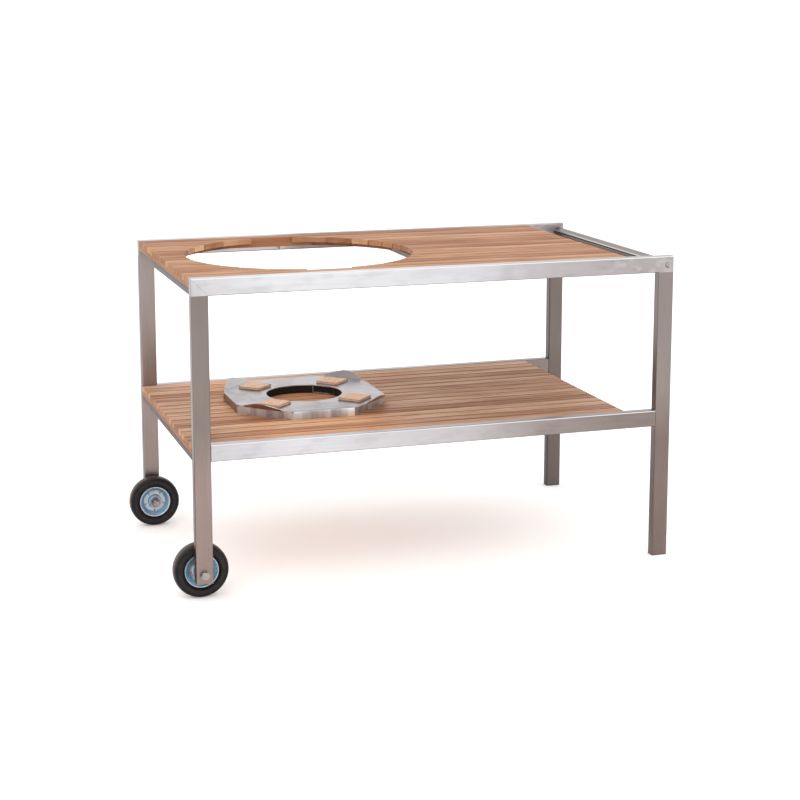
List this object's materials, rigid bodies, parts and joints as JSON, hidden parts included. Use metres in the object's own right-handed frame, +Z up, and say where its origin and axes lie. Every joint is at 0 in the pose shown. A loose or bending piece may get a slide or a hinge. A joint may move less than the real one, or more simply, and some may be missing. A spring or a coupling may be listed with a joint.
{
  "type": "kamado grill table",
  "caption": "Wheeled stainless steel and teak trolley table with a round cut-out for a kamado grill, a lower shelf, a grip tube and a loose footed tray for the grill's base.",
  "frame": {"origin": "on the floor, under the middle of the whole object's box", "axes": "+X along the length, from the wheels towards the grip tube; +Y to the back; +Z up"},
  "size_m": [1.237, 0.722, 0.754],
  "materials": {
    "brushed_stainless": "brushed stainless steel, ground welds",
    "polished_steel": "finely polished stainless steel",
    "fasteners": "plain stainless steel fasteners",
    "teak": "planed, lightly oiled teak",
    "cork": "fine granulated cork",
    "tyre": "smooth solid black rubber",
    "zinc_plated": "blue passivated zinc plating",
    "nylon": "natural nylon",
    "black_paint": "matt black heat-proof paint on sheet steel",
    "black_plastic": "black plastic"
  },
  "bodies": {
    "table": {"axle_bolts": "fasteners", "axle_nuts": "fasteners", "axle_washers": "fasteners", "deck_screws": "fasteners", "handle_bolts": "fasteners", "handle_plugs": "fasteners", "handle_tube": "polished_steel", "leg_front_left": "brushed_stainless", "leg_front_right": "brushed_stainless", "leg_plugs": "black_plastic", "leg_rear_left": "brushed_stainless", "leg_rear_right": "brushed_stainless", "lower_rail_front": "brushed_stainless", "lower_rail_rear": "brushed_stainless", "opening_batten_left": "teak", "opening_batten_right": "teak", "shelf_batten_left": "teak", "shelf_batten_middle": "teak", "shelf_batten_right": "teak", "shelf_cross_rail_left": "brushed_stainless", "shelf_cross_rail_middle": "brushed_stainless", "shelf_cross_rail_right": "brushed_stainless", "shelf_slats": "teak", "support_tabs": "brushed_stainless", "top_batten_left": "teak", "top_batten_middle": "teak", "top_batten_right": "teak", "top_cross_rail_left": "brushed_stainless", "top_cross_rail_middle": "brushed_stainless", "top_cross_rail_right": "brushed_stainless", "top_edge_strips": "teak", "top_rail_front": "brushed_stainless", "top_rail_rear": "brushed_stainless", "top_slat_01": "teak", "top_slat_02": "teak", "top_slat_03": "teak", "top_slat_04": "teak", "top_slat_05": "teak", "top_slat_06": "teak", "top_slat_07": "teak", "top_slat_08": "teak", "top_slat_09": "teak", "top_slat_10": "teak", "top_slat_11": "teak", "top_slat_12": "teak", "top_slat_13": "teak", "top_slat_14": "teak", "top_slat_15": "teak", "top_slat_16": "teak"},
    "wheel_front": {"wheel_front_tyre": "tyre", "wheel_front_rim": "zinc_plated", "wheel_front_hub": "zinc_plated", "wheel_front_bush": "nylon"},
    "wheel_rear": {"wheel_rear_tyre": "tyre", "wheel_rear_rim": "zinc_plated", "wheel_rear_hub": "zinc_plated", "wheel_rear_bush": "nylon"},
    "tray": {"base_tray": "brushed_stainless", "tray_collar": "black_paint", "cork_pads": "cork"}
  },
  "joints": [
    {"name": "wheel_front_spin", "type": "hinge", "parent": "table", "child": "wheel_front", "pos_m": [-0.5535, -0.3012, 0.065], "axis": [0, 1, 0], "continuous": true},
    {"name": "wheel_rear_spin", "type": "hinge", "parent": "table", "child": "wheel_rear", "pos_m": [-0.5535, 0.3012, 0.065], "axis": [0, 1, 0], "continuous": true},
    {"name": "tray_lift", "type": "slide", "parent": "table", "child": "tray", "axis": [0, 0, 1], "range_m": [0, 0.45]}
  ]
}
